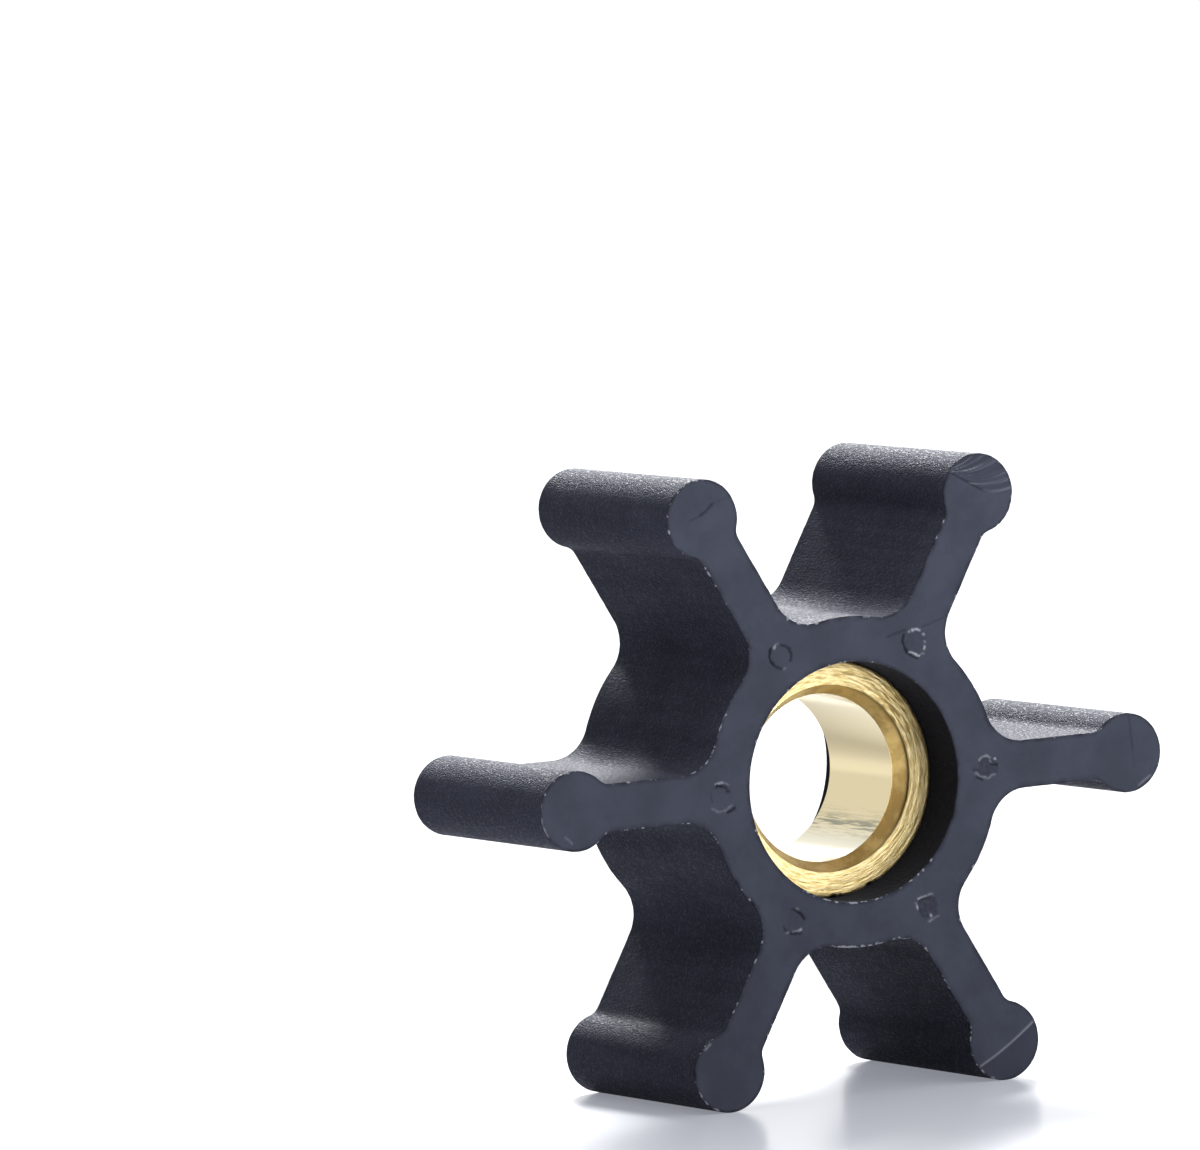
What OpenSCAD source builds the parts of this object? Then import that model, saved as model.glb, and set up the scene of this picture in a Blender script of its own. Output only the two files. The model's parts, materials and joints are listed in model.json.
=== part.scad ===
// Flexible pump impeller: a moulded rubber hub with bulb-tipped vanes,
// bonded to a turned brass insert that takes the pump shaft.
// The shaft axis lies along Y, and the face with the pin marks looks to -Y.
// The origin is on the shaft axis, midway between the two rubber faces.

/* [Overall] */
// Diameter over the tips of the vanes
tip_d = 51; // [42:0.5:70]
// Width of the rubber along the shaft
body_w = 18.6; // [13:0.1:40]
// Number of vanes round the hub
vane_count = 6; // [4:2:8]

/* [Vanes] */
// Thickness of a vane between its parallel flanks
vane_t = 3.4; // [2:0.1:4.6]
// Diameter of the round bead along each tip
bead_d = 5.7; // [5.2:0.1:8]
// Radius of the hollow between flank and bead
neck_r = 1.15; // [0.5:0.05:3]
// Radius of the fillet between flank and hub
root_r = 3; // [1:0.1:5]

/* [Hub] */
// Wall of rubber between the insert and the outside of the hub
hub_wall = 3.25; // [2:0.05:5]
// Depth of the open recess in front of each end of the insert
recess_depth = 3.75; // [0.5:0.05:5]

/* [Pin marks] */
// Diameter of the round marks that the mould pins leave on the front face
pin_mark_d = 1.75; // [0.8:0.05:2]
// Depth of each pin mark
pin_mark_depth = 0.15; // [0.05:0.05:0.6]
// Distance from the edge of the recess to the centre of each mark
pin_mark_offset = 2.4; // [1.1:0.1:4]

/* [Insert] */
// Diameter of the shaft bore
bore_d = 12; // [8:0.1:16]
// Wall of brass between the bore and the bond with the rubber
insert_wall = 2.55; // [1.6:0.05:4]
// Width of the chamfer at each mouth of the bore, across the end face
mouth_across = 0.7; // [0.2:0.05:1.2]
// Length of the same chamfer, along the bore
mouth_along = 1.15; // [0.3:0.05:2]
// Size of the small chamfer round the outer edge of each end face
edge_break = 0.25; // [0.1:0.05:0.35]

/* [Hidden] */
$fn = 128;

// Cutting tools reach this far past the faces that they open
past = 1;

rubber_colour = [0.23, 0.24, 0.29];
brass_colour = [0.80, 0.67, 0.40];

bore_r = bore_d / 2;
insert_r = bore_r + insert_wall;
insert_half = body_w / 2 - recess_depth;
hub_r = insert_r + hub_wall;
bead_r = bead_d / 2;
bead_at = tip_d / 2 - bead_r;
flank = vane_t / 2;
vane_step = 360 / vane_count;

// Two vanes stand on the ground, one on each side of the lowest point
first_vane = -90 + vane_step / 2;

// Centre of the arc that is tangent to a flank and to the bead
neck_c = [bead_at - sqrt(pow(bead_r + neck_r, 2) - pow(flank + neck_r, 2)), flank + neck_r];
// Centre of the arc that is tangent to a flank and to the hub
root_c = [sqrt(pow(hub_r + root_r, 2) - pow(flank + root_r, 2)), flank + root_r];

// The point at a distance from one centre, on the line towards another
function towards(from, to, distance) = from + (to - from) * distance / norm(to - from);

// Turns the drawing plane upright, so that what is extruded runs along Y,
// with the drawing seen true from the front
module upright() {
    rotate([90, 0, 0]) children();
}

// The web of rubber that fills the hollow between a flank and the bead
module neck_fillet() {
    bead_c = [bead_at, 0];
    difference() {
        polygon([bead_c, towards(bead_c, neck_c, bead_r), neck_c, [neck_c.x, 0]]);
        translate(neck_c) circle(neck_r);
    }
}

// The web of rubber that fills the corner between a flank and the hub
module root_fillet() {
    difference() {
        polygon([[0, 0], [root_c.x, 0], root_c, towards([0, 0], root_c, hub_r)]);
        translate(root_c) circle(root_r);
    }
}

// Cross-section of one vane, which points along +X
module vane_section() {
    translate([0, -flank]) square([bead_at, vane_t]);
    translate([bead_at, 0]) circle(bead_r);
    for (side = [0, 1])
        mirror([0, side]) {
            neck_fillet();
            root_fillet();
        }
}

// Cross-section of the whole moulding, with the seat of the insert cut through
module body_section() {
    difference() {
        union() {
            circle(hub_r);
            for (i = [0 : vane_count - 1])
                rotate(first_vane + i * vane_step) vane_section();
        }
        circle(insert_r);
    }
}

// Shallow round marks at the foot of each vane, on the front face
module pin_marks() {
    for (i = [0 : vane_count - 1])
        rotate(first_vane + i * vane_step)
            translate([insert_r + pin_mark_offset, 0, body_w / 2 - pin_mark_depth])
                cylinder(d = pin_mark_d, h = pin_mark_depth + past);
}

// Hub and vanes, moulded in one piece
module rubber_body() {
    color(rubber_colour)
        upright()
            difference() {
                linear_extrude(height = body_w, center = true) body_section();
                pin_marks();
            }
}

// Turned sleeve with a chamfered bore, sunk below both rubber faces
module brass_insert() {
    half_section = [
        [bore_r, mouth_along - insert_half],
        [bore_r + mouth_across, -insert_half],
        [insert_r - edge_break, -insert_half],
        [insert_r, edge_break - insert_half],
        [insert_r, insert_half - edge_break],
        [insert_r - edge_break, insert_half],
        [bore_r + mouth_across, insert_half],
        [bore_r, insert_half - mouth_along]
    ];
    color(brass_colour)
        upright()
            rotate_extrude() polygon(half_section);
}

rubber_body();
brass_insert();
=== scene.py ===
"""Looks of a rubber pump impeller: six bulb-tipped vanes round a hub, bonded to a turned brass insert.

Sizes are in millimetres where a name says nothing else. Blender's own unit is the metre.
The shaft axis is Y, the marked front face looks to -Y, and Z is up. Angles are in degrees,
anticlockwise from +X as seen from the front, and a vane is named by its angle.
"""

import json
import math

import bpy
import numpy as np
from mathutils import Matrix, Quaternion, Vector, noise
from mathutils.geometry import delaunay_2d_cdt


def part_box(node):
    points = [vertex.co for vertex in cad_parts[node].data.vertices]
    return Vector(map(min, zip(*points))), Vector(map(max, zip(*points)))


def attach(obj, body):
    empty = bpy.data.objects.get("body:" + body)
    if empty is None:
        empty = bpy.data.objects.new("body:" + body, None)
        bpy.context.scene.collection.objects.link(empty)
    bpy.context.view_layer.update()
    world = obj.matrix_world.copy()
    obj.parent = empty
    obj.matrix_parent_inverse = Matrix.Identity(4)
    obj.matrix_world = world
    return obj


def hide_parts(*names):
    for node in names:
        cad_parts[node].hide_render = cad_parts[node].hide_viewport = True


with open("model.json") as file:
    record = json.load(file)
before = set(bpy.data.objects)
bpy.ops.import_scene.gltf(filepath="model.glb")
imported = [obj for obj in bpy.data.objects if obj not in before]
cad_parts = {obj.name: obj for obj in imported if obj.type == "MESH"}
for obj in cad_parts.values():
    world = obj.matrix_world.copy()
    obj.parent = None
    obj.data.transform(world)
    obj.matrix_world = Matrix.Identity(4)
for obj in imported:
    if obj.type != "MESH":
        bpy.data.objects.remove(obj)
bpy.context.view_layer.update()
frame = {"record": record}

MM = 0.001

# Sizes of the moulding and the insert, with the overall ones taken from the frame
BODY_LOW, BODY_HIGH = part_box("rubber_body")
INSERT_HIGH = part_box("brass_insert")[1]
TIP_R = BODY_HIGH.x / MM
BODY_HALF = BODY_HIGH.y / MM
INSERT_R = INSERT_HIGH.x / MM
INSERT_HALF = INSERT_HIGH.y / MM
BORE_R = next(m for m in frame["record"]["mounts"] if m["name"] == "shaft_bore")["dims"]["r_mm"]
GROUND = BODY_LOW.z

VANES = 6
VANE_STEP = 360 // VANES
BEAD_R = 2.85
BEAD_AT = TIP_R - BEAD_R
FLANK = 1.7
NECK_R = 1.15
ROOT_R = 3.0
HUB_R = 11.8
PIN_MARK_AT = 10.95
PIN_MARK_R = 0.875
MOUTH_ACROSS = 0.7
MOUTH_ALONG = 1.15

# Fineness of the meshes
OUTLINE_STEP = 0.16
RECESS_STEP = 0.24
WALL_ROWS = 12
FRONT_STEP = 0.25
REAR_STEP = 0.5
BEAD_STEP = 0.1
FAN_STEP = 0.07
PIN_STEP = 0.07

# Radius of the fine grid round a pin mark, and round the one with scratches beside it
PIN_DISC = 1.55
SCRATCHED_DISC = 2.9

# The points of a grid keep this share of its step from the border, and are tested in blocks of this many
BORDER_GAP = 0.45
BLOCK = 512

# What the triangulation is asked for: only triangles inside the outline, with points this near made one
TRIANGLES_INSIDE = 1
MERGE_GAP = 1e-7

# Edges of the moulding: their radius, the strip of face or wall beside them, and the trimmed burr on them
RIM_R = 0.06
RIM_STEPS = 3
RIM_MARGIN = 0.12
RIM_FADE = 0.5
BURR_PROUD = 0.02
BURR_OUT = 0.015
RECESS_BURR = 0.3

# How the burr swings along an edge: its mean, its swing, and its long and short waves per millimetre
BURR_MEAN = 0.25
BURR_SWING = 0.9
BURR_LONG = 0.8
BURR_SHORT = 3.0

# Where edges have more dark notches and painted pale glints than elsewhere: place, radius and how much more
EDGE_NOTCHES_AND_GLINTS = [
    # A painted highlight along the lower edges of the hub and the mouth of the recess
    ((0.0, -10.4), 4.2, 0.55),
    ((6.0, 15.5), 4.5, -0.12),
    ((-14.0, 1.6), 4.0, 0.3),
    ((-4.5, -18.5), 3.0, 0.2),
    ((8.5, 0.5), 6.0, -0.5),
    ((19.5, -2.5), 3.5, -0.7),
]
REAR_NOTCHES_AND_GLINTS = 0.4

# How dark the front edges and the wall of the recess are, and how patchy the darkening on the edges is
# Along the front edges the darkening is dirt and painted shade
EDGE_DIRT_AND_SHADE = 0.85
EDGE_DIRT_AND_SHADE_MEAN = 0.6
EDGE_DIRT_AND_SHADE_SWING = 0.9
EDGE_DIRT_AND_SHADE_PER_MM = 1.2
# Painted shade: the wall of the recess is painted near black, as shade falls deep in it
RECESS_SHADE = 1.15

# Strokes on the front face are a strength and then the points of a line. A stroke is a groove where its
# strength is positive, darkened for dirt and painted shade in it, and where it is negative, proud rubber
# painted pale for scuffs and a painted highlight on it.
STROKE_DEEP = 0.09
STROKE_PROUD = 0.05
GROOVE_WIDER = 1.3
BLOTCHY = 0.7
BLOTCHES_PER_MM = 5.0

# Pin marks: a shallow dish with strokes round it, placed from the mark's centre, and the dirt inside it.
# Its reach and the place where the dish ends are shares of the mark's radius.
PIN_SINK = 0.05
PIN_LINE = 0.08
PIN_REACH = 1.7
DISH_FROM, DISH_TO = 0.75, 1.1
DISH_RAGGED, DISH_RAGGED_PER_MM = 0.2, 2.0
PIN_WANDER, PIN_WANDER_PER_MM = 0.1, 3.0
PIN_DIRT_SWING, PIN_DIRT_PER_MM = 0.9, 4.0
PIN_DIRT = {0: 0.3, 60: 0.15, 120: 0.05, 180: 0.0, 240: 0.05, 300: 0.45}
PIN_STROKES = {
    0: [
        (-0.4, (-0.58, 0.63), (-0.27, 0.84), (0.03, 0.88), (0.3, 0.7)),
        (-0.65, (0.7, 0.6), (0.77, 0.53)),
        (-0.3, (0.34, 0.48), (0.4, 0.42)),
        (0.9, (0.37, 0.2), (0.83, 0.14)),
        (0.5, (-1.12, -0.03), (-0.72, -0.12)),
        (0.4, (0.1, 0.42), (0.2, 0.3)),
        (-0.25, (-0.93, -0.32), (-0.44, -0.61), (0.07, -0.73), (0.64, -0.52)),
        (0.9, (-0.85, -0.58), (-0.45, -0.82)),
    ],
    60: [
        (1.3, (-0.83, 0.56), (-0.92, 0.2), (-0.89, -0.1), (-0.68, -0.62), (-0.2, -0.98), (0.21, -1.13)),
        (-0.6, (-0.41, 0.74), (-0.36, 0.78)),
        (-0.7, (-0.14, 0.86), (0.16, 0.9), (0.45, 0.82)),
        (-0.6, (0.76, 0.48), (0.79, 0.4)),
        (-0.4, (0.84, -0.02), (0.88, -0.12)),
        (-0.8, (0.82, -0.44), (0.79, -0.55)),
        (-0.85, (-0.39, -0.68), (-0.02, -0.88), (0.36, -1.02)),
        (-0.2, (0.42, -0.98), (0.74, -0.82)),
    ],
    120: [
        (1.3, (-0.78, 0.58), (-0.92, 0.25), (-0.93, -0.05), (-0.82, -0.36), (-0.62, -0.62)),
        (0.9, (-0.62, -0.62), (-0.35, -0.84), (-0.02, -0.93)),
        (0.8, (0.1, 0.7), (0.45, 0.62), (0.68, 0.42), (0.82, 0.1), (0.83, -0.18), (0.78, -0.4)),
        (-0.5, (-0.55, 0.6), (-0.42, 0.74)),
        (-0.2, (-0.42, 0.74), (-0.24, 0.88)),
        (-0.2, (0.14, -0.93), (0.26, -0.92)),
    ],
    180: [
        (-0.5, (-0.36, 0.84), (-0.1, 0.93), (0.2, 0.93)),
        (-0.2, (0.2, 0.93), (0.42, 0.86), (0.6, 0.72)),
        (1.2, (-0.3, 0.68), (0.0, 0.7), (0.2, 0.66)),
        (0.7, (0.2, 0.66), (0.48, 0.5), (0.64, 0.24)),
        (0.35, (-0.76, 0.3), (-0.78, -0.1), (-0.66, -0.4)),
        (-0.16, (-0.76, -0.8), (-0.4, -1.04), (0.05, -1.14), (0.4, -1.02), (0.79, -0.76)),
        (1.2, (0.53, -1.2), (0.85, -1.12), (1.12, -0.96)),
    ],
    240: [
        (0.6, (-0.1, 0.88), (0.12, 0.82)),
        (1.1, (0.12, 0.82), (0.4, 0.64), (0.66, 0.4), (0.82, 0.18)),
        (-0.25, (0.26, 0.92), (0.34, 0.88)),
        (0.7, (-0.84, -0.22), (-0.82, -0.4), (-0.7, -0.54)),
        (-0.3, (-0.09, -0.68), (0.3, -0.64)),
        (-0.65, (0.34, -0.62), (0.54, -0.56)),
        (0.9, (-0.31, -0.8), (0.1, -0.86), (0.47, -0.81)),
        (-0.2, (-0.64, -0.72), (-0.55, -0.76)),
    ],
    300: [
        (-0.6, (-0.72, 0.66), (-0.4, 0.76), (-0.18, 0.82)),
        (-0.3, (-0.18, 0.82), (0.15, 0.88), (0.45, 0.93)),
        (-0.6, (-0.82, 0.1), (-0.8, -0.02)),
        (-0.25, (-0.92, 0.4), (-0.86, 0.2)),
        (-0.8, (0.26, -0.58), (0.31, -0.66)),
        (-0.3, (0.08, -1.0), (0.45, -0.88)),
        (-0.2, (0.55, -0.84), (0.87, -0.7)),
        (0.7, (-0.62, 0.5), (-0.2, 0.6), (0.3, 0.62)),
        (0.5, (-0.6, -0.2), (-0.4, -0.6)),
    ],
}

# Strokes on the bead ends, placed from the bead's centre. They reach a little past the bead.
BEAD_LINE = 0.075
BEAD_REACH = 1.1
BEAD_STROKES = {
    0: [
        (0.4, (0.31, 2.6), (0.4, 1.3), (0.48, 0.3)),
        (0.2, (0.48, 0.3), (0.52, -1.1)),
        (-0.25, (0.9, -2.4), (1.3, -2.15)),
        (-0.3, (1.45, -2.05), (1.9, -1.8)),
    ],
    60: [],
    120: [
        (0.4, (-0.99, 0.02), (-0.55, 0.14), (-0.15, 0.3)),
        (0.8, (-0.15, 0.3), (0.28, 0.55), (0.89, 1.06)),
        (0.2, (0.89, 1.06), (2.07, 1.45)),
    ],
    180: [
        (-0.5, (-2.86, -0.3), (-2.8, -0.8), (-2.4, -1.6)),
        (-0.8, (-2.84, 0.62), (-2.8, 0.74)),
        (-0.14, (-1.0, -1.74), (-0.72, -1.96), (-0.47, -2.24)),
    ],
    240: [
        (-0.5, (-2.2, 2.0), (-1.85, 2.28)),
        (-0.4, (-1.9, 1.8), (-1.5, 2.15)),
        (0.4, (-2.1, 1.75), (-1.6, 2.0)),
    ],
    300: [
        (-0.7, (-1.95, -2.04), (-1.85, -2.1)),
        (-0.6, (-1.2, -2.6), (-1.0, -2.66)),
    ],
}

# The line where a knife cut back a bead's end, across the vane and a little beyond the bead's centre,
# and how far the part beyond it is cut back and how dark that part is painted, as shade on the cut-back
# face
CUTS = {
    60: dict(at=0.34, slope=0.0, bow=0.0, first=-0.4, last=2.8, strength=0.7, back=0.02, dark=0.05),
    300: dict(at=0.46, slope=-0.03, bow=-0.018, first=-2.8, last=2.8, strength=-0.45, back=0.05, dark=0.22),
}
CUT_WANDER, CUT_WANDER_PER_MM = 0.03, 1.3
CUT_FADE = 0.3
BEYOND_FROM, BEYOND_TO = -0.04, 0.06

# The fan of knife strokes on one bead end: its root beside the bead's centre, how much its strokes bend in
# degrees per millimetre, the bow of its edge, how deep they are, and how pale and dark they are painted:
# a painted highlight on their ridges and painted shade in their troughs
FAN_VANE = 60
FAN_ROOT = (0.2, 3.3)
FAN_SWEEP = 5.5
FAN_EDGE = 0.17
FAN_DEEP = 0.03
FAN_PALE = 0.4
FAN_DARK = 0.22

# Wide and narrow strokes of the fan: waves per degree across them and per millimetre along them, a seed
# for the noise, and their height
FAN_STROKES = [(0.32, 0.15, 3.0, 1.5), (0.7, 0.3, 9.0, 1.1)]

# Scratches on the front face, both beside one pin mark
SCRATCHED_PIN = 60
SCRATCH = 0.07
SCRATCHES = [
    (0.5, (3.26, 10.04), (4.77, 10.41)),
    (0.35, (6.18, 10.5), (8.12, 11.04)),
]


def polar(radius, degrees, centre=(0.0, 0.0)):
    """A point at an angle round a centre, in the plane of the front face."""
    turn = math.radians(degrees)
    return (centre[0] + radius * math.cos(turn), centre[1] + radius * math.sin(turn))


def arc(centre, radius, start, end, step):
    """Points along an arc, about step apart, without the last one."""
    count = max(3, math.ceil(radius * math.radians(abs(end - start)) / step))
    return [polar(radius, start + (end - start) * i / count, centre) for i in range(count)]


def line(start, end, step):
    """Points along a straight line, about step apart, without the last one."""
    count = max(1, math.ceil(math.dist(start, end) / step))
    return [tuple(a + (b - a) * i / count for a, b in zip(start, end)) for i in range(count)]


def ease(value, low, high):
    """A smooth step from 0 at low to 1 at high."""
    t = min(1.0, max(0.0, (value - low) / (high - low)))
    return t * t * (3 - 2 * t)


def bell(distance, width):
    """A bump of height 1 that fades over a width."""
    return math.exp(-((distance / width) ** 2))


def vane_outline(step):
    """The outline of one sixth of the moulding, anticlockwise, with its vane along +X."""
    neck = (BEAD_AT - math.sqrt((BEAD_R + NECK_R) ** 2 - (FLANK + NECK_R) ** 2), FLANK + NECK_R)
    root = (math.sqrt((HUB_R + ROOT_R) ** 2 - (FLANK + ROOT_R) ** 2), FLANK + ROOT_R)
    neck_turn = math.degrees(math.atan2(neck[1], BEAD_AT - neck[0]))
    root_turn = math.degrees(math.atan2(root[1], root[0]))
    half_sector = 180 / VANES
    return (
        arc((0, 0), HUB_R, -half_sector, -root_turn, step)
        + arc((root[0], -root[1]), ROOT_R, 180 - root_turn, 90, step)
        + line((root[0], -FLANK), (neck[0], -FLANK), step)
        + arc((neck[0], -neck[1]), NECK_R, 90, neck_turn, step)
        + arc((BEAD_AT, 0), BEAD_R, neck_turn - 180, 180 - neck_turn, step)
        + arc(neck, NECK_R, -neck_turn, -90, step)
        + line((neck[0], FLANK), (root[0], FLANK), step)
        + arc(root, ROOT_R, -90, root_turn - 180, step)
        + arc((0, 0), HUB_R, root_turn, half_sector, step)
    )


def turned(points, degrees):
    """The same points, turned about the shaft axis."""
    c, s = math.cos(math.radians(degrees)), math.sin(math.radians(degrees))
    return [(x * c - z * s, x * s + z * c) for x, z in points]


def body_outline(step):
    """The whole outline of the moulding, as an array of points in the plane of the face."""
    sector = vane_outline(step)
    points = []
    for vane in range(0, 360, VANE_STEP):
        points += turned(sector, vane)
    return np.array(points)


def outward(points):
    """Unit normals that point out of a closed anticlockwise outline."""
    along = np.roll(points, -1, 0) - np.roll(points, 1, 0)
    normals = np.stack([along[:, 1], -along[:, 0]], 1)
    return normals / np.linalg.norm(normals, axis=1)[:, None]


def ripple(x, z, per_mm, seed):
    """Smooth noise over the plane of the face, from about -1 to 1. Each seed gives another one."""
    return noise.noise(Vector((x * per_mm, z * per_mm, seed)))


def gap_to(points, x, z):
    """Distance from a place to the line through some points."""
    place = Vector((x, z))
    gaps = []
    for start, end in zip(points, points[1:]):
        a, b = Vector(start), Vector(end)
        share = min(1.0, max(0.0, (place - a).dot(b - a) / (b - a).length_squared))
        gaps.append((place - a.lerp(b, share)).length)
    return min(gaps)


def stroked(strokes, x, z, width):
    """Depth, shade and fleck that strokes give at a place."""
    groove, fleck = 0.0, 0.0
    blotch = 1.0 + BLOTCHY * ripple(x, z, BLOTCHES_PER_MM, 2)
    for strength, *points in strokes:
        gap = gap_to(points, x, z)
        # Grooves are darkened for dirt and painted shade, proud strokes painted pale for scuffs and a
        # highlight
        if strength > 0:
            groove = max(groove, strength * bell(gap, GROOVE_WIDER * width))
        else:
            fleck = max(fleck, -strength * blotch * bell(gap, width))
    return STROKE_DEEP * groove - STROKE_PROUD * fleck, groove, fleck


def pin_mark(vane, x, z):
    """Depth, shade and fleck at a place relative to the centre of a pin mark."""
    reach = math.hypot(x, z) / PIN_MARK_R
    if reach > PIN_REACH:
        return 0.0, 0.0, 0.0
    x += PIN_WANDER * ripple(x, z, PIN_WANDER_PER_MM, vane + 1)
    z += PIN_WANDER * ripple(x, z, PIN_WANDER_PER_MM, vane + 7)
    ragged = reach + DISH_RAGGED * ripple(x, z, DISH_RAGGED_PER_MM, vane)
    within = 1 - ease(ragged, DISH_FROM, DISH_TO)
    patchy = 1 + PIN_DIRT_SWING * ripple(x, z, PIN_DIRT_PER_MM, vane + 3)
    darkening = PIN_DIRT[vane] * within * patchy
    depth, shade, fleck = stroked(PIN_STROKES[vane], x, z, PIN_LINE)
    return depth + PIN_SINK * within, max(shade, darkening), fleck


def bead_mark(vane, x, z):
    """Depth, shade and fleck at a place relative to the centre of a bead's end."""
    depth, shade, fleck = stroked(BEAD_STROKES[vane], x, z, BEAD_LINE)
    if vane not in CUTS:
        return depth, shade, fleck
    along, across = turned([(x, z)], -vane)[0]
    cut = CUTS[vane]
    edge = cut["at"] + cut["slope"] * across + cut["bow"] * across**2
    gap = along - edge - CUT_WANDER * ripple(along, across, CUT_WANDER_PER_MM, vane)
    begun = ease(across, cut["first"] - CUT_FADE, cut["first"] + CUT_FADE)
    ended = ease(across, cut["last"] - CUT_FADE, cut["last"] + CUT_FADE)
    mark = cut["strength"] * (begun * (1 - ended)) * bell(gap, BEAD_LINE)
    if vane == FAN_VANE:
        edge += FAN_EDGE * max(0.0, -across) ** 2
    beyond = ease(along - edge, BEYOND_FROM, BEYOND_TO)
    depth += STROKE_PROUD * mark + cut["back"] * beyond
    # The cut-back part is painted darker, as shade
    shade += max(mark, 0.0) + cut["dark"] * beyond
    fleck += max(-mark, 0.0)
    if vane == FAN_VANE:
        stroke = fan_stroke(along, across) * beyond
        depth -= FAN_DEEP * stroke
        # Painted highlight on the ridges of the strokes, and painted shade in their troughs
        fleck += FAN_PALE * max(0.0, stroke) ** 2
        shade += FAN_DARK * max(0.0, -stroke)
    return depth, shade, fleck


def fan_stroke(along, across):
    """Height of the knife strokes that fan out over one bead's end, from -1 to 1."""
    a, b = along - FAN_ROOT[0], across - FAN_ROOT[1]
    reach = math.hypot(a, b)
    sweep = math.degrees(math.atan2(b, a)) - FAN_SWEEP * reach
    height = 0.0
    for per_degree, per_mm, seed, high in FAN_STROKES:
        height += high * noise.noise(Vector((sweep * per_degree, reach * per_mm, seed)))
    return max(-1.0, min(1.0, height))


def front_relief(x, z):
    """Depth below the front face, shade and fleck at a place on it."""
    vane = round(math.degrees(math.atan2(z, x)) / VANE_STEP) % VANES * VANE_STEP
    pin, bead = polar(PIN_MARK_AT, vane), polar(BEAD_AT, vane)
    marks = [pin_mark(vane, x - pin[0], z - pin[1]), stroked(SCRATCHES, x, z, SCRATCH)]
    if math.hypot(x - bead[0], z - bead[1]) < BEAD_R * BEAD_REACH:
        marks.append(bead_mark(vane, x - bead[0], z - bead[1]))
    depth, shade, fleck = (sum(parts) for parts in zip(*marks))
    return depth, min(shade, 1.0), min(fleck, 1.0)


class Shell:
    """Points and faces of one mesh as it grows, with the numbers that its material reads at each point."""

    LOOKS = ("rim", "flat", "shade", "fleck")

    def __init__(self):
        self.points = []
        self.faces = []
        self.looks = []

    def add(self, point, rim, flat, shade, fleck):
        """Adds a point and returns its number."""
        self.points.append(point)
        self.looks.append((rim, flat, shade, fleck))
        return len(self.points) - 1

    def object(self, name):
        """A smooth mesh object in metres."""
        mesh = bpy.data.meshes.new(name)
        mesh.from_pydata([Vector(p) * MM for p in self.points], [], self.faces)
        for i, look in enumerate(self.LOOKS):
            values = np.array([looks[i] for looks in self.looks], np.float32)
            mesh.attributes.new(look, "FLOAT", "POINT").data.foreach_set("value", values)
        mesh.update()
        mesh.shade_smooth()
        made = bpy.data.objects.new(name, mesh)
        bpy.context.scene.collection.objects.link(made)
        return made


def rim_rows():
    """Rows over a rounded edge, from face to wall: inset, depth below the face, rim and flat."""
    rows = [(RIM_R + RIM_MARGIN, 0.0, RIM_FADE, 1.0)]
    for k in range(RIM_STEPS + 1):
        turn = math.pi / 2 * k / RIM_STEPS
        flat = 1.0 if k < RIM_STEPS else 0.0
        rows.append((RIM_R * (1 - math.sin(turn)), RIM_R * (1 - math.cos(turn)), 1.0, flat))
    rows.append((0.0, RIM_R + RIM_MARGIN, 0.0, 0.0))
    return rows


def wall_rows():
    """Rows of a wall, from the front face to the rear one: inset, place along the axis, rim and flat."""
    front = [(inset, depth - BODY_HALF, rim, flat) for inset, depth, rim, flat in rim_rows()]
    rear = [(inset, -y, rim, flat) for inset, y, rim, flat in reversed(front)]
    low, high = front[-1][1], rear[0][1]
    middle = [(0.0, low + (high - low) * k / WALL_ROWS, 0.0, 0.0) for k in range(1, WALL_ROWS)]
    return front + middle + rear


def burr(x, z, seed):
    """How much trimmed rubber stands proud of an edge at a place along it."""
    waves = ripple(x, z, BURR_LONG, seed) + ripple(x, z, BURR_SHORT, seed)
    return max(0.0, BURR_MEAN + BURR_SWING * waves)


def edge_notches_and_glints(x, z):
    """How many dark notches and painted pale glints an edge has at a place, where 1 is the usual amount."""
    return 1.0 + sum(more * bell(math.dist(place, (x, z)), radius) for place, radius, more in EDGE_NOTCHES_AND_GLINTS)


def add_wall(shell, ring, inward, burr_share, darkening):
    """Rows of quads along the axis. Returns the numbers of the first row's points and of the last row's.

    Inward is 1 for a ring with the rubber inside it, and -1 for one with the rubber round it.
    """
    first, count = len(shell.points), len(ring)
    away = outward(ring)
    rows = wall_rows()
    for inset, y, rim, flat in rows:
        side = math.copysign(1, y)
        for (x, z), (u, v) in zip(ring, away):
            proud = burr(x, z, side) * rim * burr_share
            out = (BURR_OUT * proud - inset) * inward
            px, pz = x + u * out, z + v * out
            depth, shade, fleck = front_relief(px, pz) if flat == 1.0 and y < 0 else (0.0, 0.0, 0.0)
            # Painted shade on the wall of the recess, away from its edges
            shade = max(shade, darkening * (1 - max(rim, flat)))
            # Dirt and painted shade in a dark line along the front edges
            if y < 0:
                patchy = EDGE_DIRT_AND_SHADE_MEAN + EDGE_DIRT_AND_SHADE_SWING * ripple(x, z, EDGE_DIRT_AND_SHADE_PER_MM, 5)
                shade = max(shade, EDGE_DIRT_AND_SHADE * rim * patchy)
            # Dark notches and painted glints on the edges, fewer on the rear ones
            notches_and_glints = rim * (edge_notches_and_glints(x, z) if y < 0 else REAR_NOTCHES_AND_GLINTS)
            shell.add((px, y + depth + side * BURR_PROUD * proud * flat, pz), notches_and_glints, flat, shade, fleck)
    for r in range(len(rows) - 1):
        for i in range(count):
            a, b = first + r * count + i, first + r * count + (i + 1) % count
            quad = (a, a + count, b + count, b)
            shell.faces.append(quad if inward > 0 else quad[::-1])
    last = first + (len(rows) - 1) * count
    return range(first, first + count), range(last, last + count)


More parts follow.
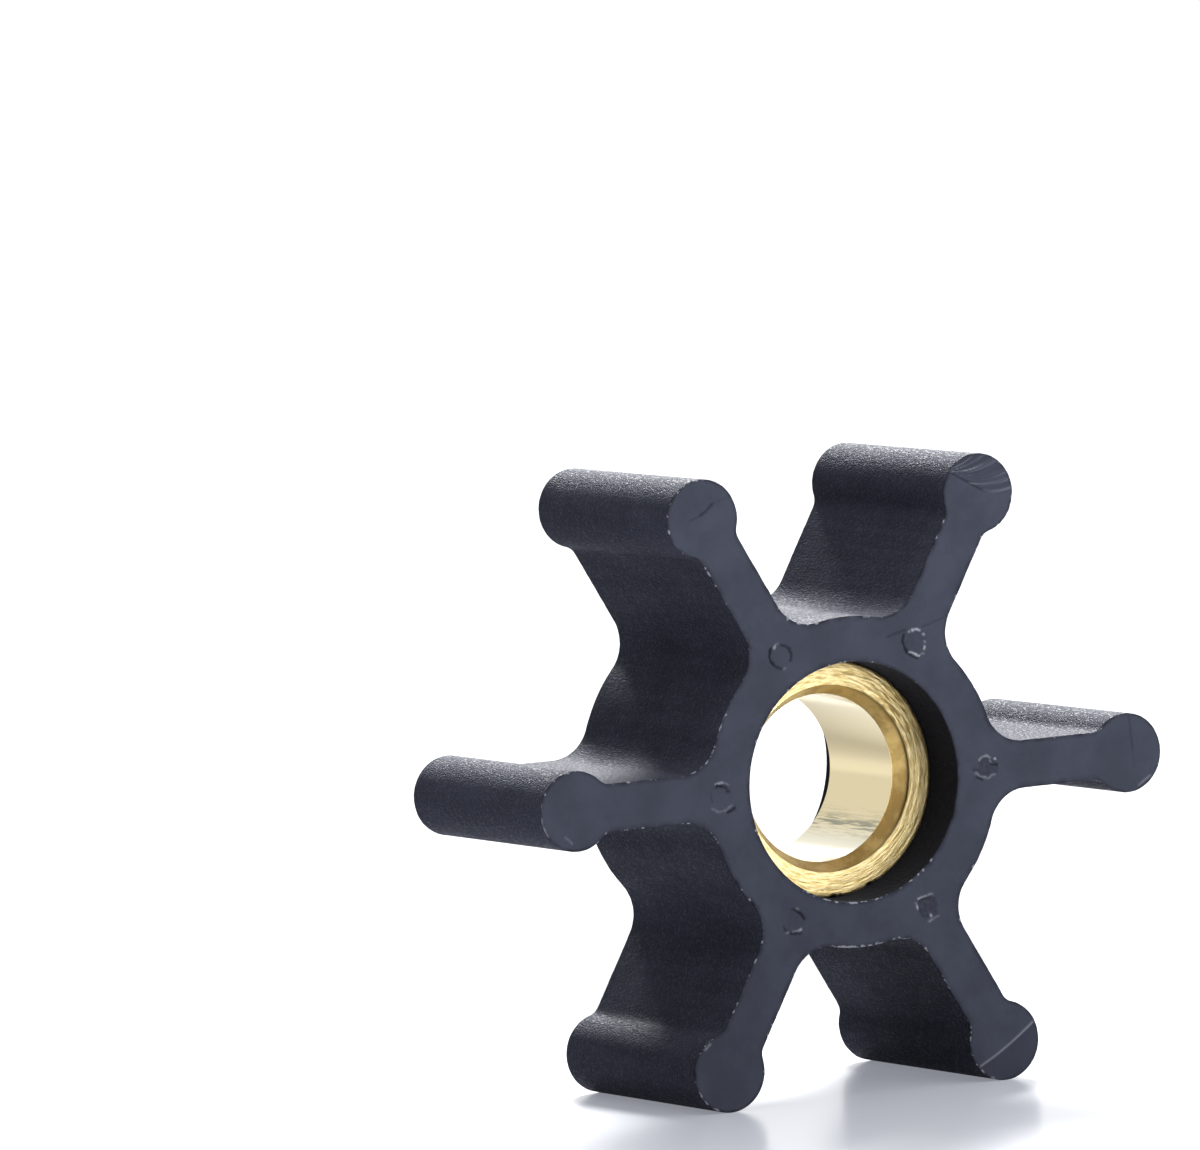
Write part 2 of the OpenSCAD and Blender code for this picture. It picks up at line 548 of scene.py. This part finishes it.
def hex_grid(centre, reach, step):
    """Points of a triangular grid that covers a square round a centre."""
    rows = np.arange(-reach, reach + step, step * math.sqrt(3) / 2)
    points = []
    for k, z in enumerate(rows):
        xs = np.arange(-reach, reach + step, step) + (step / 2 if k % 2 else 0)
        points.append(np.stack([xs, np.full(len(xs), z)], 1))
    return np.concatenate(points) + np.array(centre)


def inside(points, outline):
    """Which points lie inside a closed outline, by counting crossings."""
    found = np.zeros(len(points), bool)
    ahead = np.roll(outline, -1, 0)
    x, z = points[:, 0], points[:, 1]
    for (x0, z0), (x1, z1) in zip(outline, ahead):
        if z0 == z1:
            continue
        crosses = (z0 > z) != (z1 > z)
        found ^= crosses & (x < (x1 - x0) * (z - z0) / (z1 - z0) + x0)
    return found


def on_face(points, outline, hole):
    """Which points lie on the face between the outline and the round hole."""
    return inside(points, outline) & (np.linalg.norm(points, axis=1) > np.linalg.norm(hole[0]))


def clear_of(points, others, gap):
    """The points that lie at least a gap from all the others."""
    kept = []
    for start in range(0, len(points), BLOCK):
        block = points[start : start + BLOCK]
        near = np.linalg.norm(block[:, None] - others[None], axis=2).min(1)
        kept.append(block[near > gap])
    return np.concatenate(kept)


def face_grid(outline, hole, step, discs):
    """Points inside a face: a coarse grid, and finer ones in discs of centre, radius and step."""
    border = np.concatenate([outline, hole])
    grid = hex_grid((0, 0), TIP_R, step)
    for centre, radius, fine in discs:
        grid = grid[np.linalg.norm(grid - np.array(centre), axis=1) > radius]
    grids = [clear_of(grid[on_face(grid, outline, hole)], border, step * BORDER_GAP)]
    for centre, radius, fine in discs:
        patch = hex_grid(centre, radius, fine)
        patch = patch[np.linalg.norm(patch - np.array(centre), axis=1) < radius - fine / 2]
        grids.append(clear_of(patch[on_face(patch, outline, hole)], border, fine * BORDER_GAP))
    return np.concatenate(grids)


def face_mesh(outline, hole, grid):
    """Triangles between an outline and a round hole. The outline's points come first, then the hole's."""
    points = np.concatenate([outline, hole, grid])
    n, m = len(outline), len(hole)
    edges = [(i, (i + 1) % n) for i in range(n)] + [(n + i, n + (i + 1) % m) for i in range(m)]
    made = delaunay_2d_cdt([Vector(p) for p in points], edges, [], TRIANGLES_INSIDE, MERGE_GAP, True)
    source = [ids[0] for ids in made[3]]
    faces = np.array([[source[v] for v in face] for face in made[2]])
    return faces[on_face(points[faces].mean(1), outline, hole)].tolist()


def add_face(shell, wall, seat, y, step, discs):
    """An end face between a row of the wall and one of the seat, with the relief of the front one."""
    numbers = [*wall, *seat]
    border = np.array([(shell.points[i][0], shell.points[i][2]) for i in numbers])
    outline, hole = border[: len(wall)], border[len(wall) :]
    grid = face_grid(outline, hole, step, discs)
    for x, z in grid:
        depth, shade, fleck = front_relief(x, z) if y < 0 else (0.0, 0.0, 0.0)
        numbers.append(shell.add((x, y + depth, z), 0.0, 1.0, shade, fleck))
    for corners in face_mesh(outline, hole, grid):
        face = [numbers[c] for c in corners]
        shell.faces.append(face if y < 0 else face[::-1])


def rubber_moulding():
    """Hub and vanes in one closed mesh, with trimmed edges and the marks on its front face."""
    shell = Shell()
    outline = body_outline(OUTLINE_STEP)
    seat = np.array(arc((0, 0), INSERT_R, 0, 360, RECESS_STEP))
    wall_front, wall_rear = add_wall(shell, outline, inward=1, burr_share=1.0, darkening=0.0)
    seat_front, seat_rear = add_wall(shell, seat, inward=-1, burr_share=RECESS_BURR, darkening=RECESS_SHADE)
    plain_pins = [vane for vane in PIN_STROKES if vane != SCRATCHED_PIN]
    discs = [(polar(PIN_MARK_AT, vane), PIN_DISC, PIN_STEP) for vane in plain_pins]
    discs.append((polar(PIN_MARK_AT, SCRATCHED_PIN), SCRATCHED_DISC, PIN_STEP))
    for vane in BEAD_STROKES:
        discs.append((polar(BEAD_AT, vane), BEAD_R, FAN_STEP if vane == FAN_VANE else BEAD_STEP))
    add_face(shell, wall_front, seat_front, -BODY_HALF, FRONT_STEP, discs)
    add_face(shell, wall_rear, seat_rear, BODY_HALF, REAR_STEP, [])
    return shell.object("rubber_moulding")


# The turned insert: steps of its mesh, its rounded outer edge, and the degrees from which an edge is sharp
SLEEVE_SEGMENTS = 420
SLEEVE_STEP = 0.07
BORE_STEP = 0.3
OUTSIDE_STEP = 0.6
SLEEVE_EDGE = 0.3
SHARP_FROM = 24

# Radii of the insert's section are compared with this much slack
HAIR = 0.01

# Tool marks on the end faces: their depth, the rings in radians per millimetre with their share of the
# depth and how they wander, and the knocks between them
TOOL_GROOVE = 0.014
TOOL_RINGS = 38
TOOL_RING_SHARE = 0.5
RING_WANDER, RING_WANDER_PER_MM = 2.5, 0.15
KNOCKS_PER_MM = 2.2

# The crease between end face and chamfer: its depth and how soon it fades
CREASE = 0.012
CREASE_FADE = 0.06

# Dirt in that crease: angle, width in degrees and strength, and how soon it fades to both sides
CREASE_DIRT = [(0, 60, 1.2)]
CREASE_DIRT_FADE = 0.095

# Nicks in the outer edge: angle, width in degrees and depth, how far in they reach, and the dirt in them
NICKS = [
    (-90, 1.6, 0.16),
    (-86, 1.0, 0.1),
    (-69, 1.8, 0.2),
    (-65, 1.0, 0.1),
    (-104, 1.2, 0.08),
    (-120, 1.0, 0.08),
]
NICK_REACH = 0.5
NICK_DIRT = 4.0
NICK_DIRT_FROM, NICK_DIRT_TO = 0.45, 0.1

# Dull patches and painted shade on the end face, its scored parts, and the grey streaks in the bore:
# angle, width in degrees and strength
# A dull patch on the right of the end face, and painted shade over its top where less light falls
RING_DULL_AND_SHADE = [(20, 16, 0.3), (105, 50, 0.17)]
RING_DULL_AND_SHADE_FADE = 0.3
RING_SCORED = [(34, 26, 0.95), (85, 40, 0.5), (-75, 30, 0.2)]
BORE_GREY_STREAKS = [(-42, 8, 0.9)]


def sleeve_section():
    """Half of the insert's section as (radius, y), from the middle of the bore to the middle outside."""
    mouth = (BORE_R + MOUTH_ACROSS, INSERT_HALF)
    round_at = (INSERT_R - SLEEVE_EDGE, INSERT_HALF - SLEEVE_EDGE)
    return (
        line((BORE_R, 0.0), (BORE_R, INSERT_HALF - MOUTH_ALONG), BORE_STEP)
        + line((BORE_R, INSERT_HALF - MOUTH_ALONG), mouth, SLEEVE_STEP)
        + line(mouth, (round_at[0], INSERT_HALF), SLEEVE_STEP)
        + arc(round_at, SLEEVE_EDGE, 90, 0, SLEEVE_STEP)
        + line((INSERT_R, round_at[1]), (INSERT_R, 0.0), OUTSIDE_STEP)
    )


def tool_marks(radius, turn):
    """How deep the turning tool and later knocks went into the insert's end face at a place."""
    x, z = polar(radius, turn)
    ring = math.sin(radius * TOOL_RINGS + RING_WANDER * ripple(x, z, RING_WANDER_PER_MM, 4))
    depth = TOOL_GROOVE * (ring * TOOL_RING_SHARE + ripple(x, z, KNOCKS_PER_MM, 8))
    depth += CREASE * bell(radius - BORE_R - MOUTH_ACROSS, CREASE_FADE)
    return depth


def spots(turn, places):
    """Sum of the marks at an angle, from a list of angle, width and strength."""
    return sum(strength * bell((turn - at + 180) % 360 - 180, width) for at, width, strength in places)


def brass_dirt_and_shade(r, turn):
    """How dark the insert's front end is at a place: dirt in its crease and nicks, a dull patch, and
    painted shade on its top.
    """
    inner = BORE_R + MOUTH_ACROSS
    crease = spots(turn, CREASE_DIRT) * bell(r - inner, CREASE_DIRT_FADE)
    # A dull patch, and painted shade over the top of the end face
    dull_and_shade = spots(turn, RING_DULL_AND_SHADE) * ease(r, inner, inner + RING_DULL_AND_SHADE_FADE)
    knocks = NICK_DIRT * spots(turn, NICKS) * ease(r, INSERT_R - NICK_DIRT_FROM, INSERT_R - NICK_DIRT_TO)
    return min(1.0, crease + dull_and_shade + knocks)


def add_sleeve_point(shell, r, y, turn):
    """One point of the insert, with its tool marks, nicks, dirt, painted shade and grey streaks."""
    inner = BORE_R + MOUTH_ACROSS - HAIR
    ring = INSERT_HALF - abs(y) < SLEEVE_EDGE and r > inner
    mouth = BORE_R < r < inner
    depth, pushed, darkening, marks = 0.0, 0.0, 0.0, 0.0
    if ring:
        marks = spots(turn, RING_SCORED)
    elif not mouth:
        marks = spots(turn, BORE_GREY_STREAKS)
    if ring and r < INSERT_R - 2 * HAIR:
        depth = tool_marks(r, turn)
    if ring and y < 0:
        pushed = spots(turn, NICKS) * ease(r, INSERT_R - NICK_REACH, INSERT_R)
    if (ring or mouth) and y < 0:
        darkening = brass_dirt_and_shade(r, turn)
    x, z = polar(r - pushed, turn)
    shell.add((x, y - math.copysign(depth, y), z), float(mouth), float(ring), darkening, marks)


def brass_sleeve():
    """The turned insert, as one closed mesh of rings round the axis."""
    half = sleeve_section()
    section = [(r, -y) for r, y in half] + [(r, y) for r, y in reversed(half)][:-1]
    shell = Shell()
    count = SLEEVE_SEGMENTS
    for r, y in section:
        for i in range(count):
            add_sleeve_point(shell, r, y, 360 * i / count)
    for k in range(len(section)):
        a, b = k * count, (k + 1) % len(section) * count
        for i in range(count):
            j = (i + 1) % count
            shell.faces.append((a + i, b + i, b + j, a + j))
    made = shell.object("brass_sleeve")
    made.data.set_sharp_from_angle(angle=math.radians(SHARP_FROM))
    return made


class Nodes:
    """A node tree with short ways to add to it. Inputs are values or the outputs of other nodes."""

    def __init__(self, tree):
        self.tree = tree

    def add(self, kind, inputs, **settings):
        """A new node, with its inputs by number or name."""
        made = self.tree.nodes.new(kind)
        for key, value in settings.items():
            setattr(made, key, value)
        for key, value in inputs.items():
            self.put(made.inputs[key], value)
        return made

    def put(self, socket, value):
        """Links another node's output to a socket, or sets the socket itself."""
        if isinstance(value, bpy.types.NodeSocket):
            self.tree.links.new(value, socket)
        else:
            socket.default_value = value

    def place(self):
        """Coordinates of the object, in metres."""
        return self.add("ShaderNodeTexCoord", {}).outputs["Object"]

    def vector(self, kind, *inputs):
        return self.add("ShaderNodeVectorMath", dict(enumerate(inputs)), operation=kind)

    def scaled(self, vector, scale):
        return self.vector("MULTIPLY", vector, scale).outputs["Vector"]

    def length(self, vector):
        return self.vector("LENGTH", vector).outputs["Value"]

    def axis(self, vector, name):
        """One of a vector's three parts: X, Y or Z."""
        return self.add("ShaderNodeSeparateXYZ", {0: vector}).outputs[name]

    def noise(self, vector, size_mm, detail=2.0, roughness=0.5):
        """Noise whose features are about as large as given."""
        inputs = {"Vector": vector, "Scale": 1 / (size_mm * MM), "Detail": detail, "Roughness": roughness}
        return self.add("ShaderNodeTexNoise", inputs).outputs[0]

    def spread(self, value, low, high, new_low=0.0, new_high=1.0):
        """Smoothly maps one stretch of values to another."""
        inputs = {0: value, 1: low, 2: high, 3: new_low, 4: new_high}
        return self.add("ShaderNodeMapRange", inputs, interpolation_type="SMOOTHSTEP").outputs[0]

    def between(self, share, off, on):
        """Off where the share is 0, on where it is 1, and smoothly between."""
        return self.spread(share, 0, 1, off, on)

    def combine(self, kind, a, b):
        """Two numbers made one: ADD, MULTIPLY or MAXIMUM."""
        return self.add("ShaderNodeMath", {0: a, 1: b}, operation=kind).outputs[0]

    def mix(self, share, a, b, blend="MIX"):
        made = self.add("ShaderNodeMix", {0: share, 6: a, 7: b}, data_type="RGBA", blend_type=blend)
        return made.outputs[2]

    def look(self, name):
        """A number that the mesh keeps at each point."""
        return self.add("ShaderNodeAttribute", {}, attribute_name=name).outputs["Fac"]

    def bump(self, height, depth_mm, strength):
        inputs = {"Height": height, "Distance": depth_mm * MM, "Strength": strength}
        return self.add("ShaderNodeBump", inputs).outputs["Normal"]


def new_material(name):
    """An empty material, its nodes and its shader."""
    material = bpy.data.materials.new(name)
    material.use_nodes = True
    return material, Nodes(material.node_tree), material.node_tree.nodes["Principled BSDF"]


# Colours of the rubber, and how strongly dirt and painted shade darken it
# The faces are lighter than the walls partly for their ground finish and partly as painted light, the
# rubber being one
FACE_RUBBER = (0.043, 0.047, 0.065, 1)
WALL_RUBBER = (0.022, 0.024, 0.038, 1)
# Pale rubber for scuffs, and for the painted highlights that glint along edges and on proud strokes
SCUFFED_AND_GLINTING_RUBBER = (0.34, 0.35, 0.39, 1)
DIRT_AND_SHADE_RUBBER = (0.008, 0.008, 0.011, 1)
DIRT_AND_SHADE_STRENGTH = 0.8

# Noise on the rubber: size of its features, detail and roughness
CLOUDS = (3.5, 5, 0.6)
WALL_STREAKS = (1.0, 3, 0.5)
CHIP_CLUSTERS = (2.5, 2)
CHIPS = (0.42, 3)
FINE_GRAIN = (0.13, 2, 0.6)
COARSE_GRAIN = (0.4, 2)
SPECKLE = (0.17, 1)

# What such noise becomes: the stretch of its values, and the numbers that the two ends turn into
CLOUD_TONES = (0.3, 0.7, 0.88, 1.12)
STREAK_TONES = (0.35, 0.65, 0.9, 1.1)
CLUSTER_CHIPS = (0.35, 0.65, -0.07, 0.04)
DARK_NOTCHES = (0.46, 0.4, 0.0, 0.4)
PALE_CHIPS_AND_GLINTS = (0.86, 0.97, 0.0, 0.6)
SPECKLE_ROUGHNESS = (0.48, 0.66, 0.74, 0.5)

# How much more pale glint is painted on edges than elsewhere, and the depth and strength of the grain
RIM_GLINTS = 0.3
COARSE_SHARE = 0.5
GRAIN_DEEP = 0.1
WALL_GRAIN, FACE_GRAIN = 1.0, 0.15
FACE_ROUGHNESS = 0.62

# How patterns are drawn out along the axis: faint streaks on the walls, their grain, the bore's grey
# streaks
LONG_STREAKS = (1, 0.08, 1)
LONG_GRAIN = (1, 0.5, 1)
LONG_GREY_STREAKS = (1, 0.06, 1)


def rubber_tone(nodes, place, flat):
    """A grey that wavers in soft clouds, and on the walls in faint streaks along the axis."""
    axial = nodes.noise(nodes.scaled(place, LONG_STREAKS), *WALL_STREAKS)
    streaks = nodes.between(flat, nodes.spread(axial, *STREAK_TONES), 1.0)
    clouds = nodes.spread(nodes.noise(place, *CLOUDS), *CLOUD_TONES)
    tone = nodes.combine("MULTIPLY", clouds, streaks)
    return nodes.add("ShaderNodeCombineColor", {0: tone, 1: tone, 2: tone}).outputs[0]


def rubber_colour(nodes, place, flat, shade):
    """Blue-grey, dark where dirt and painted shade lie, and pale where it is scuffed and where painted
    highlights glint.
    """
    rim = nodes.look("rim")
    # Lighter on the faces, partly for their finish and partly as painted light
    colour = nodes.mix(flat, WALL_RUBBER, FACE_RUBBER)
    colour = nodes.mix(1.0, colour, rubber_tone(nodes, place, flat), "MULTIPLY")
    clusters = nodes.spread(nodes.noise(place, *CHIP_CLUSTERS), *CLUSTER_CHIPS)
    chips = nodes.combine("ADD", nodes.noise(place, *CHIPS), clusters)
    notched = nodes.combine("MULTIPLY", rim, nodes.spread(chips, *DARK_NOTCHES))
    colour = nodes.mix(nodes.combine("MAXIMUM", shade, notched), colour, DIRT_AND_SHADE_RUBBER)
    # Pale chips, and painted highlights that glint along the edges
    more_on_rim = nodes.combine("ADD", chips, nodes.combine("MULTIPLY", rim, RIM_GLINTS))
    chips_and_glints = nodes.spread(more_on_rim, *PALE_CHIPS_AND_GLINTS)
    return nodes.mix(nodes.combine("MAXIMUM", chips_and_glints, nodes.look("fleck")), colour, SCUFFED_AND_GLINTING_RUBBER)


def rubber_material():
    """Matt blue-grey rubber: ground smooth on the faces, grained on the moulded walls; the faces' lighter
    colour is partly painted light.
    """
    material, nodes, shader = new_material("rubber")
    place = nodes.place()
    flat = nodes.look("flat")
    # Dirt and painted shade from the shade look
    shade = nodes.combine("MULTIPLY", nodes.look("shade"), DIRT_AND_SHADE_STRENGTH)
    nodes.put(shader.inputs["Base Color"], rubber_colour(nodes, place, flat, shade))
    # The grain is drawn out along the axis, which the photograph foreshortens to a fine even speckle
    drawn = nodes.scaled(place, LONG_GRAIN)
    coarse = nodes.combine("MULTIPLY", nodes.noise(drawn, *COARSE_GRAIN), COARSE_SHARE)
    grain = nodes.combine("ADD", nodes.noise(drawn, *FINE_GRAIN), coarse)
    strength = nodes.between(flat, WALL_GRAIN, FACE_GRAIN)
    nodes.put(shader.inputs["Normal"], nodes.bump(grain, GRAIN_DEEP, strength))
    speckle = nodes.spread(nodes.noise(drawn, *SPECKLE), *SPECKLE_ROUGHNESS)
    clean = nodes.between(flat, speckle, FACE_ROUGHNESS)
    nodes.put(shader.inputs["Roughness"], nodes.combine("MAXIMUM", clean, shade))
    shader.inputs["Specular IOR Level"].default_value = 0.04
    shader.inputs["Sheen Weight"].default_value = 0.06
    shader.inputs["Sheen Roughness"].default_value = 0.35
    shader.inputs["Sheen Tint"].default_value = (0.8, 0.85, 1, 1)
    return material


# Colours of the insert's end faces, its chamfers and its bore
RING_BRASS = (0.94, 0.77, 0.41, 1)
RING_BRASS_DULL = (0.62, 0.45, 0.17, 1)
SCORED_BRASS = (0.26, 0.17, 0.06, 1)
MOUTH_BRASS = (0.84, 0.69, 0.38, 1)
MOUTH_BRASS_DULL = (0.63, 0.48, 0.24, 1)
BORE_BRASS = (0.73, 0.63, 0.39, 1)
# Painted highlight: the bore's lower wall is painted paler
BORE_BRASS_PALE = (0.82, 0.78, 0.62, 1)
BORE_STREAK_GREY = (0.24, 0.24, 0.18, 1)
# Dark brown for dirt, and for the painted shade on the end face
BRASS_DIRT_AND_SHADE = (0.10, 0.07, 0.03, 1)

# Heights in metres between which the bore turns from pale to yellow; the pale lower part is a painted
# highlight
PALE_FROM, PALE_TO = -0.0055, -0.0035

# Noise on the brass, in the same terms as on the rubber, and what it becomes
TOOL_STREAKS = (0.16, 4, 0.65)
BROAD_STREAKS = (0.45, 2)
SCORES = (0.22, 2)
BORE_STREAKS = (0.22, 3, 0.7)
MOTTLES = (1.6, 4, 0.6)
PALE_STREAKS = (0.36, 0.6)
BROWN_SCORES = (0.5, 0.38, 0.0, 0.8)
GREY_STREAKS = (0.44, 0.6)
DULL_MOTTLES = (0.42, 0.62)

# Roughness of the three surfaces, and the depth, mix and strength of the ridges that the tool left
BORE_ROUGH, MOUTH_ROUGH, RING_ROUGH = 0.12, 0.36, 0.48
RIDGE_DEEP = 0.035
BROAD_SHARE = 1.5
BORE_RIDGES, RING_RIDGES = 0.04, 1.0

# Radius in metres at which turning marks are laid round the axis: the smaller, the longer they are
MARKS_ROUND = 0.0013
ACROSS_AXIS = (1, 0, 1)


def along_the_tool(nodes, place):
    """Coordinates that change fast across the turning tool's path and slowly along it."""
    radial = nodes.scaled(place, ACROSS_AXIS)
    turn = nodes.vector("NORMALIZE", radial).outputs["Vector"]
    reach = nodes.combine("ADD", nodes.length(radial), nodes.axis(place, "Y"))
    across = nodes.add("ShaderNodeCombineXYZ", {1: reach}).outputs[0]
    return nodes.vector("ADD", nodes.scaled(turn, [MARKS_ROUND] * 3), across).outputs["Vector"]


def ring_colour(nodes, path, streak, marks):
    """The insert's end face: streaked by the tool, with brown scores where it is scored."""
    ring = nodes.mix(nodes.spread(streak, *PALE_STREAKS), RING_BRASS_DULL, RING_BRASS)
    scores = nodes.spread(nodes.noise(path, *SCORES), *BROWN_SCORES)
    return nodes.mix(nodes.combine("MULTIPLY", scores, marks), ring, SCORED_BRASS)


def bore_colour(nodes, place, marks):
    """The bore: painted paler at the bottom as a highlight, with streaky grey marks."""
    axial = nodes.noise(nodes.scaled(place, LONG_GREY_STREAKS), *BORE_STREAKS)
    streaked_grey = nodes.combine("MULTIPLY", nodes.spread(axial, *GREY_STREAKS), marks)
    # Painted highlight, paler towards the bottom of the bore
    yellow = nodes.spread(nodes.axis(place, "Z"), PALE_FROM, PALE_TO)
    bore = nodes.mix(yellow, BORE_BRASS_PALE, BORE_BRASS)
    return nodes.mix(streaked_grey, bore, BORE_STREAK_GREY)


def brass_material():
    """Turned brass: pale and smooth in the bore, browner on its chamfers, scored on the end faces."""
    material, nodes, shader = new_material("brass")
    place = nodes.place()
    path = along_the_tool(nodes, place)
    flat, mouth, marks = nodes.look("flat"), nodes.look("rim"), nodes.look("fleck")
    streak = nodes.noise(path, *TOOL_STREAKS)
    mottled = nodes.spread(nodes.noise(place, *MOTTLES), *DULL_MOTTLES)
    chamfer = nodes.mix(mottled, MOUTH_BRASS, MOUTH_BRASS_DULL)
    colour = nodes.mix(mouth, bore_colour(nodes, place, marks), chamfer)
    colour = nodes.mix(flat, colour, ring_colour(nodes, path, streak, marks))
    nodes.put(shader.inputs["Base Color"], nodes.mix(nodes.look("shade"), colour, BRASS_DIRT_AND_SHADE))
    ring_rough = nodes.between(flat, BORE_ROUGH, RING_ROUGH)
    mouth_rough = nodes.between(mouth, BORE_ROUGH, MOUTH_ROUGH)
    nodes.put(shader.inputs["Roughness"], nodes.combine("MAXIMUM", ring_rough, mouth_rough))
    broad = nodes.combine("MULTIPLY", nodes.noise(path, *BROAD_STREAKS), BROAD_SHARE)
    ridges = nodes.combine("ADD", streak, broad)
    strength = nodes.between(flat, BORE_RIDGES, RING_RIDGES)
    nodes.put(shader.inputs["Normal"], nodes.bump(ridges, RIDGE_DEEP, strength))
    shader.inputs["Metallic"].default_value = 1
    return material


# The floor is paler and glows more with distance, and turns greyer behind the object (all in metres):
# the darker floor near the object and the grey floor behind it, where the back lamp's light falls, are
# painted shade
FLOOR_COLOUR = (0.36, 0.37, 0.39, 1)
FLOOR_FAR = (0.75, 0.76, 0.79, 1)
FLOOR_BEHIND = (0.12, 0.12, 0.125, 1)
PALER_FROM, PALER_TO = 0.03, 0.08
GREYER_FROM, GREYER_TO = 0.02, 0.06
FLOOR_GLOW = (0.23, 0.24, 0.27, 1)
FLOOR_GLOW_FAR = (0.62, 0.62, 0.62, 1)
GLOW_NEAR, GLOW_FAR = 0.02, 0.12
BEHIND_GLOW = (0.15, 0.15, 0.15, 1)
BEHIND_GLOW_FAR = (0.5, 0.5, 0.5, 1)
BEHIND_NEAR, BEHIND_FAR = 0.03, 0.16
FLOOR_ROUGHNESS = 0.21
FLOOR_SIZE = 8


def seen(nodes, mirrored_share=1.0):
    """1 for what the camera sees, straight or through glass, and a share for what it sees mirrored."""
    path = nodes.add("ShaderNodeLightPath", {}).outputs
    straight = nodes.combine("MAXIMUM", path["Is Camera Ray"], path["Is Transmission Ray"])
    mirrored = nodes.combine("MULTIPLY", path["Is Glossy Ray"], mirrored_share)
    return nodes.combine("MAXIMUM", straight, mirrored)


def stage():
    """A pale seamless floor with a soft gloss, which keeps the object's shadow."""
    bpy.ops.mesh.primitive_plane_add(size=FLOOR_SIZE, location=(0, 0, GROUND))
    floor = bpy.context.object
    floor.name = "floor"
    material, nodes, shader = new_material("floor")
    place = nodes.place()
    distance = nodes.length(place)
    # Painted shade: darker near the object, and greyer behind it where the back lamp's light falls
    behind = nodes.spread(nodes.axis(place, "Y"), GREYER_FROM, GREYER_TO)
    colour = nodes.mix(nodes.spread(distance, PALER_FROM, PALER_TO), FLOOR_COLOUR, FLOOR_FAR)
    nodes.put(shader.inputs["Base Color"], nodes.mix(behind, colour, FLOOR_BEHIND))
    shader.inputs["Roughness"].default_value = FLOOR_ROUGHNESS
    glow = nodes.mix(nodes.spread(distance, GLOW_NEAR, GLOW_FAR), FLOOR_GLOW, FLOOR_GLOW_FAR)
    further = nodes.spread(distance, BEHIND_NEAR, BEHIND_FAR)
    behind_glow = nodes.mix(further, BEHIND_GLOW, BEHIND_GLOW_FAR)
    nodes.put(shader.inputs["Emission Color"], nodes.mix(behind, glow, behind_glow))
    nodes.put(shader.inputs["Emission Strength"], seen(nodes))
    floor.data.materials.append(material)


def area_light(name, place, size, power, colour):
    """A rectangular lamp that looks at the object and isn't seen itself."""
    data = bpy.data.lights.new(name, "AREA")
    data.shape = "RECTANGLE"
    data.size, data.size_y = size
    data.energy = power
    data.color = colour
    lamp = bpy.data.objects.new(name, data)
    lamp.location = place
    lamp.rotation_mode = "QUATERNION"
    lamp.rotation_quaternion = (-Vector(place)).to_track_quat("-Z", "Y")
    lamp.visible_camera = False
    bpy.context.scene.collection.objects.link(lamp)


# The studio is bright to the upper right and dark to the lower left
BRIGHT_SIDE = Vector((0.74, 0.20, 0.64)).normalized()
DARK_BELOW, BRIGHT_ABOVE = -0.7, 0.35
STUDIO_DARK, STUDIO_BRIGHT = 0.13, 0.9
BACKDROP_FROM, BACKDROP_TO = 0.0, 0.4

# Lamps: name, place and size in metres, power in watts, and colour
LAMPS = [
    ("overhead", (0.0, 0.05, 0.45), (0.5, 0.5), 1.1, (1, 1, 1)),
    ("back_right", (0.30, 0.56, 0.45), (0.25, 0.2), 20.0, (1, 1, 1)),
    ("front_right", (0.14, -0.47, 0.2), (0.4, 0.4), 1.5, (0.93, 0.96, 1)),
]


def lights():
    """A soft studio with a white backdrop, and the lamps."""
    world = bpy.data.worlds.new("studio")
    bpy.context.scene.world = world
    world.use_nodes = True
    nodes = Nodes(world.node_tree)
    ahead = nodes.add("ShaderNodeTexCoord", {}).outputs["Generated"]
    toward = nodes.vector("DOT_PRODUCT", ahead, BRIGHT_SIDE).outputs["Value"]
    soft = nodes.spread(toward, DARK_BELOW, BRIGHT_ABOVE, STUDIO_DARK, STUDIO_BRIGHT)
    backdrop = nodes.spread(nodes.axis(ahead, "Y"), BACKDROP_FROM, BACKDROP_TO)
    background = world.node_tree.nodes["Background"]
    background.inputs["Color"].default_value = (1, 1, 1, 1)
    nodes.put(background.inputs["Strength"], nodes.combine("MAXIMUM", seen(nodes, backdrop), soft))
    for lamp in LAMPS:
        area_light(*lamp)


# Camera, from the photograph's own perspective: angles, distance in metres, sensor and lens
SENSOR_WIDTH = 36
VIEW_AZIMUTH = -29.19
VIEW_ELEVATION = 4.81
VIEW_ROLL = 2.91
VIEW_DISTANCE = 1.0266
VIEW_AIM = Vector((-10.51, 7.30, 14.83)) * MM
VIEW_LENS = 430.95


def camera():
    """The camera that sees the impeller as the photograph does."""
    data = bpy.data.cameras.new("camera")
    data.sensor_width = SENSOR_WIDTH
    data.lens = VIEW_LENS
    made = bpy.data.objects.new("camera", data)
    a, e = math.radians(VIEW_AZIMUTH), math.radians(VIEW_ELEVATION)
    back = Vector((math.sin(a) * math.cos(e), -math.cos(a) * math.cos(e), math.sin(e)))
    made.location = VIEW_AIM + back * VIEW_DISTANCE
    made.rotation_mode = "QUATERNION"
    level = (-back).to_track_quat("-Z", "Y")
    made.rotation_quaternion = level @ Quaternion((0, 0, 1), math.radians(-VIEW_ROLL))
    bpy.context.scene.collection.objects.link(made)
    bpy.context.scene.camera = made


camera()
moulding = rubber_moulding()
moulding.data.materials.append(rubber_material())
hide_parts("rubber_body")
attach(moulding, "root")
sleeve = brass_sleeve()
sleeve.data.materials.append(brass_material())
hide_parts("brass_insert")
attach(sleeve, "root")
stage()
lights()
bpy.context.scene.view_settings.view_transform = "Standard"
